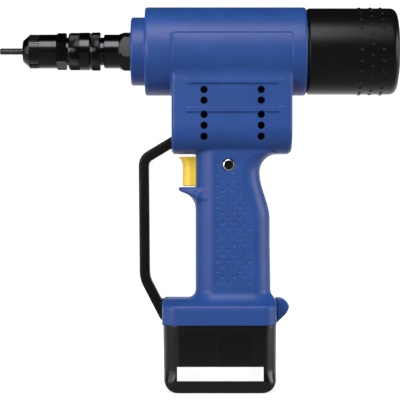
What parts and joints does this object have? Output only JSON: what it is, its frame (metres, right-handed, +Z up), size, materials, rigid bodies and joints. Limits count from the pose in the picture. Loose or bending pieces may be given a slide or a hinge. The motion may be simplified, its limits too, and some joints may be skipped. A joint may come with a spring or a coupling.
{
  "type": "battery rivet nut tool",
  "caption": "Pistol-shaped cordless rivet nut setter: blue barrel and grip, black rear cap, hand guard, yellow trigger, clip-in battery and a threaded mandrel in a steel nose.",
  "frame": {"origin": "on the standing surface, under the middle of the tool's length, in its plane of symmetry", "axes": "+X from the muzzle towards the rear cap, along the barrel; +Y towards the tool's right side; +Z up"},
  "size_m": [0.3, 0.066, 0.2865],
  "materials": {
    "housing_blue": "fine moulded texture",
    "black_plastic": "satin moulded",
    "trigger_yellow": "satin moulded",
    "black_steel": "black oxide",
    "steel": "ground",
    "aluminium": "machined",
    "brass": "machined",
    "winding": "copper winding on a steel core",
    "board": "circuit board",
    "cell": "shrink sleeve over a steel can",
    "lead": "insulated wire",
    "label": "blank label"
  },
  "bodies": {
    "tool_frame": {"left_housing": "housing_blue", "right_housing": "housing_blue", "housing_screws": "black_steel", "handle_bolt": "steel", "hand_guard": "black_plastic", "steel_head": "black_steel", "thrust_plate": "aluminium", "thrust_washer_fixed": "steel", "bearing_outer_ring": "steel", "gear_cover": "aluminium", "gear_plate": "aluminium", "gear_posts": "steel", "idler_axle": "steel", "ring_gear": "aluminium", "motor_can": "steel", "motor_end_bell": "black_plastic", "guide_tube": "steel", "rear_flange": "aluminium", "switch_body": "black_plastic", "control_board": "board", "terminal_block": "black_plastic", "terminal_blades": "brass", "battery_leads": "lead", "motor_leads": "lead", "latch_pin": "steel", "trigger_spring": "steel", "latch_spring": "steel"},
    "motor_rotor": {"motor_armature": "winding", "sun_gear": "steel"},
    "carrier": {"pinion_carrier": "steel"},
    "planet_1": {"planet_gear_1": "steel"},
    "planet_2": {"planet_gear_2": "steel"},
    "planet_3": {"planet_gear_3": "steel"},
    "idler": {"idler_gear": "steel"},
    "drive_nut": {"ball_nut": "steel", "drive_gear": "steel", "bearing_inner_ring": "steel", "thrust_washer_turning": "steel"},
    "ball_cage": {"bearing_ball_cage": "brass"},
    "roller_cage": {"thrust_roller_cage": "brass"},
    "pull_rod": {"ball_screw": "steel", "anti_turn_pin": "steel", "mandrel_holder": "steel", "retaining_ring": "steel"},
    "mandrel": {"threaded_mandrel": "black_steel"},
    "nose": {"nosepiece": "black_steel"},
    "nose_nut": {"lock_nut": "black_steel"},
    "sleeve": {"knurled_sleeve": "black_steel"},
    "ring": {"lock_ring": "black_steel"},
    "adjuster": {"stroke_adjuster": "black_steel"},
    "cap": {"rear_cap": "black_plastic"},
    "finger_trigger": {"trigger": "trigger_yellow"},
    "latch": {"battery_latch": "housing_blue"},
    "battery": {"battery_case": "black_plastic", "battery_lid": "black_plastic", "battery_cells": "cell", "battery_contacts": "brass", "battery_label": "label"}
  },
  "joints": [
    {"name": "motor_spin", "type": "hinge", "parent": "tool_frame", "child": "motor_rotor", "pos_m": [0.04, 0, 0.1995], "axis": [1, 0, 0], "range_deg": [0, 8580]},
    {"name": "carrier_spin", "type": "hinge", "parent": "tool_frame", "child": "carrier", "pos_m": [0.004, 0, 0.1995], "axis": [1, 0, 0], "range_deg": [0, 2145]},
    {"name": "planet_1_spin", "type": "hinge", "parent": "carrier", "child": "planet_1", "pos_m": [0.0107, 0.0096, 0.1995], "axis": [1, 0, 0], "range_deg": [-6435, 0]},
    {"name": "planet_2_spin", "type": "hinge", "parent": "carrier", "child": "planet_2", "pos_m": [0.0107, -0.0048, 0.20781], "axis": [1, 0, 0], "range_deg": [-6435, 0]},
    {"name": "planet_3_spin", "type": "hinge", "parent": "carrier", "child": "planet_3", "pos_m": [0.0107, -0.0048, 0.19119], "axis": [1, 0, 0], "range_deg": [-6435, 0]},
    {"name": "idler_spin", "type": "hinge", "parent": "tool_frame", "child": "idler", "pos_m": [-0.0085, 0, 0.2165], "axis": [1, 0, 0], "range_deg": [-1170, 0]},
    {"name": "nut_spin", "type": "hinge", "parent": "tool_frame", "child": "drive_nut", "pos_m": [-0.0085, 0, 0.2535], "axis": [1, 0, 0], "range_deg": [0, 495]},
    {"name": "ball_cage_spin", "type": "hinge", "parent": "tool_frame", "child": "ball_cage", "pos_m": [0, 0, 0.2535], "axis": [1, 0, 0], "range_deg": [0, 216]},
    {"name": "roller_cage_spin", "type": "hinge", "parent": "tool_frame", "child": "roller_cage", "pos_m": [-0.0294, 0, 0.2535], "axis": [1, 0, 0], "range_deg": [0, 247.5]},
    {"name": "pull_stroke", "type": "slide", "parent": "tool_frame", "child": "pull_rod", "axis": [1, 0, 0], "range_m": [0, 0.0055]},
    {"name": "mandrel_turn", "type": "hinge", "parent": "pull_rod", "child": "mandrel", "pos_m": [-0.12, 0, 0.2535], "axis": [1, 0, 0], "continuous": true},
    {"name": "nosepiece_turn", "type": "hinge", "parent": "tool_frame", "child": "nose", "pos_m": [-0.12, 0, 0.2535], "axis": [1, 0, 0], "continuous": true},
    {"name": "lock_nut_turn", "type": "hinge", "parent": "tool_frame", "child": "nose_nut", "pos_m": [-0.1033, 0, 0.2535], "axis": [1, 0, 0], "continuous": true},
    {"name": "sleeve_turn", "type": "hinge", "parent": "tool_frame", "child": "sleeve", "pos_m": [-0.09, 0, 0.2535], "axis": [1, 0, 0], "continuous": true},
    {"name": "lock_ring_turn", "type": "hinge", "parent": "tool_frame", "child": "ring", "pos_m": [-0.078, 0, 0.2535], "axis": [1, 0, 0], "continuous": true},
    {"name": "stroke_adjuster_turn", "type": "hinge", "parent": "tool_frame", "child": "adjuster", "pos_m": [0.09, 0, 0.2535], "axis": [1, 0, 0], "continuous": true},
    {"name": "rear_cap_turn", "type": "hinge", "parent": "tool_frame", "child": "cap", "pos_m": [0.11, 0, 0.2535], "axis": [1, 0, 0], "continuous": true},
    {"name": "trigger_pull", "type": "slide", "parent": "tool_frame", "child": "finger_trigger", "axis": [1, 0, 0], "range_m": [0, 0.005], "stiffness_N_per_m": 800, "springref_m": -0.004, "deforming": ["trigger_spring"]},
    {"name": "latch_press", "type": "hinge", "parent": "tool_frame", "child": "latch", "pos_m": [0.055, 0, 0.0625], "axis": [0, 1, 0], "range_deg": [0, 9], "stiffness_Nm_per_rad": 0.4, "springref_deg": -6.88, "deforming": ["latch_spring"]},
    {"name": "battery_release", "type": "slide", "parent": "tool_frame", "child": "battery", "axis": [0, 0, -1], "range_m": [0, 0.045]}
  ],
  "couplings": [
    {"joint": "motor_spin", "follows": "nut_spin", "ratio": 17.333},
    {"joint": "carrier_spin", "follows": "nut_spin", "ratio": 4.3333},
    {"joint": "planet_1_spin", "follows": "nut_spin", "ratio": -13},
    {"joint": "planet_2_spin", "follows": "nut_spin", "ratio": -13},
    {"joint": "planet_3_spin", "follows": "nut_spin", "ratio": -13},
    {"joint": "idler_spin", "follows": "nut_spin", "ratio": -2.3636},
    {"joint": "ball_cage_spin", "follows": "nut_spin", "ratio": 0.43569},
    {"joint": "roller_cage_spin", "follows": "nut_spin", "ratio": 0.5},
    {"joint": "pull_stroke", "follows": "nut_spin", "m_per_rad": 0.00063662}
  ]
}
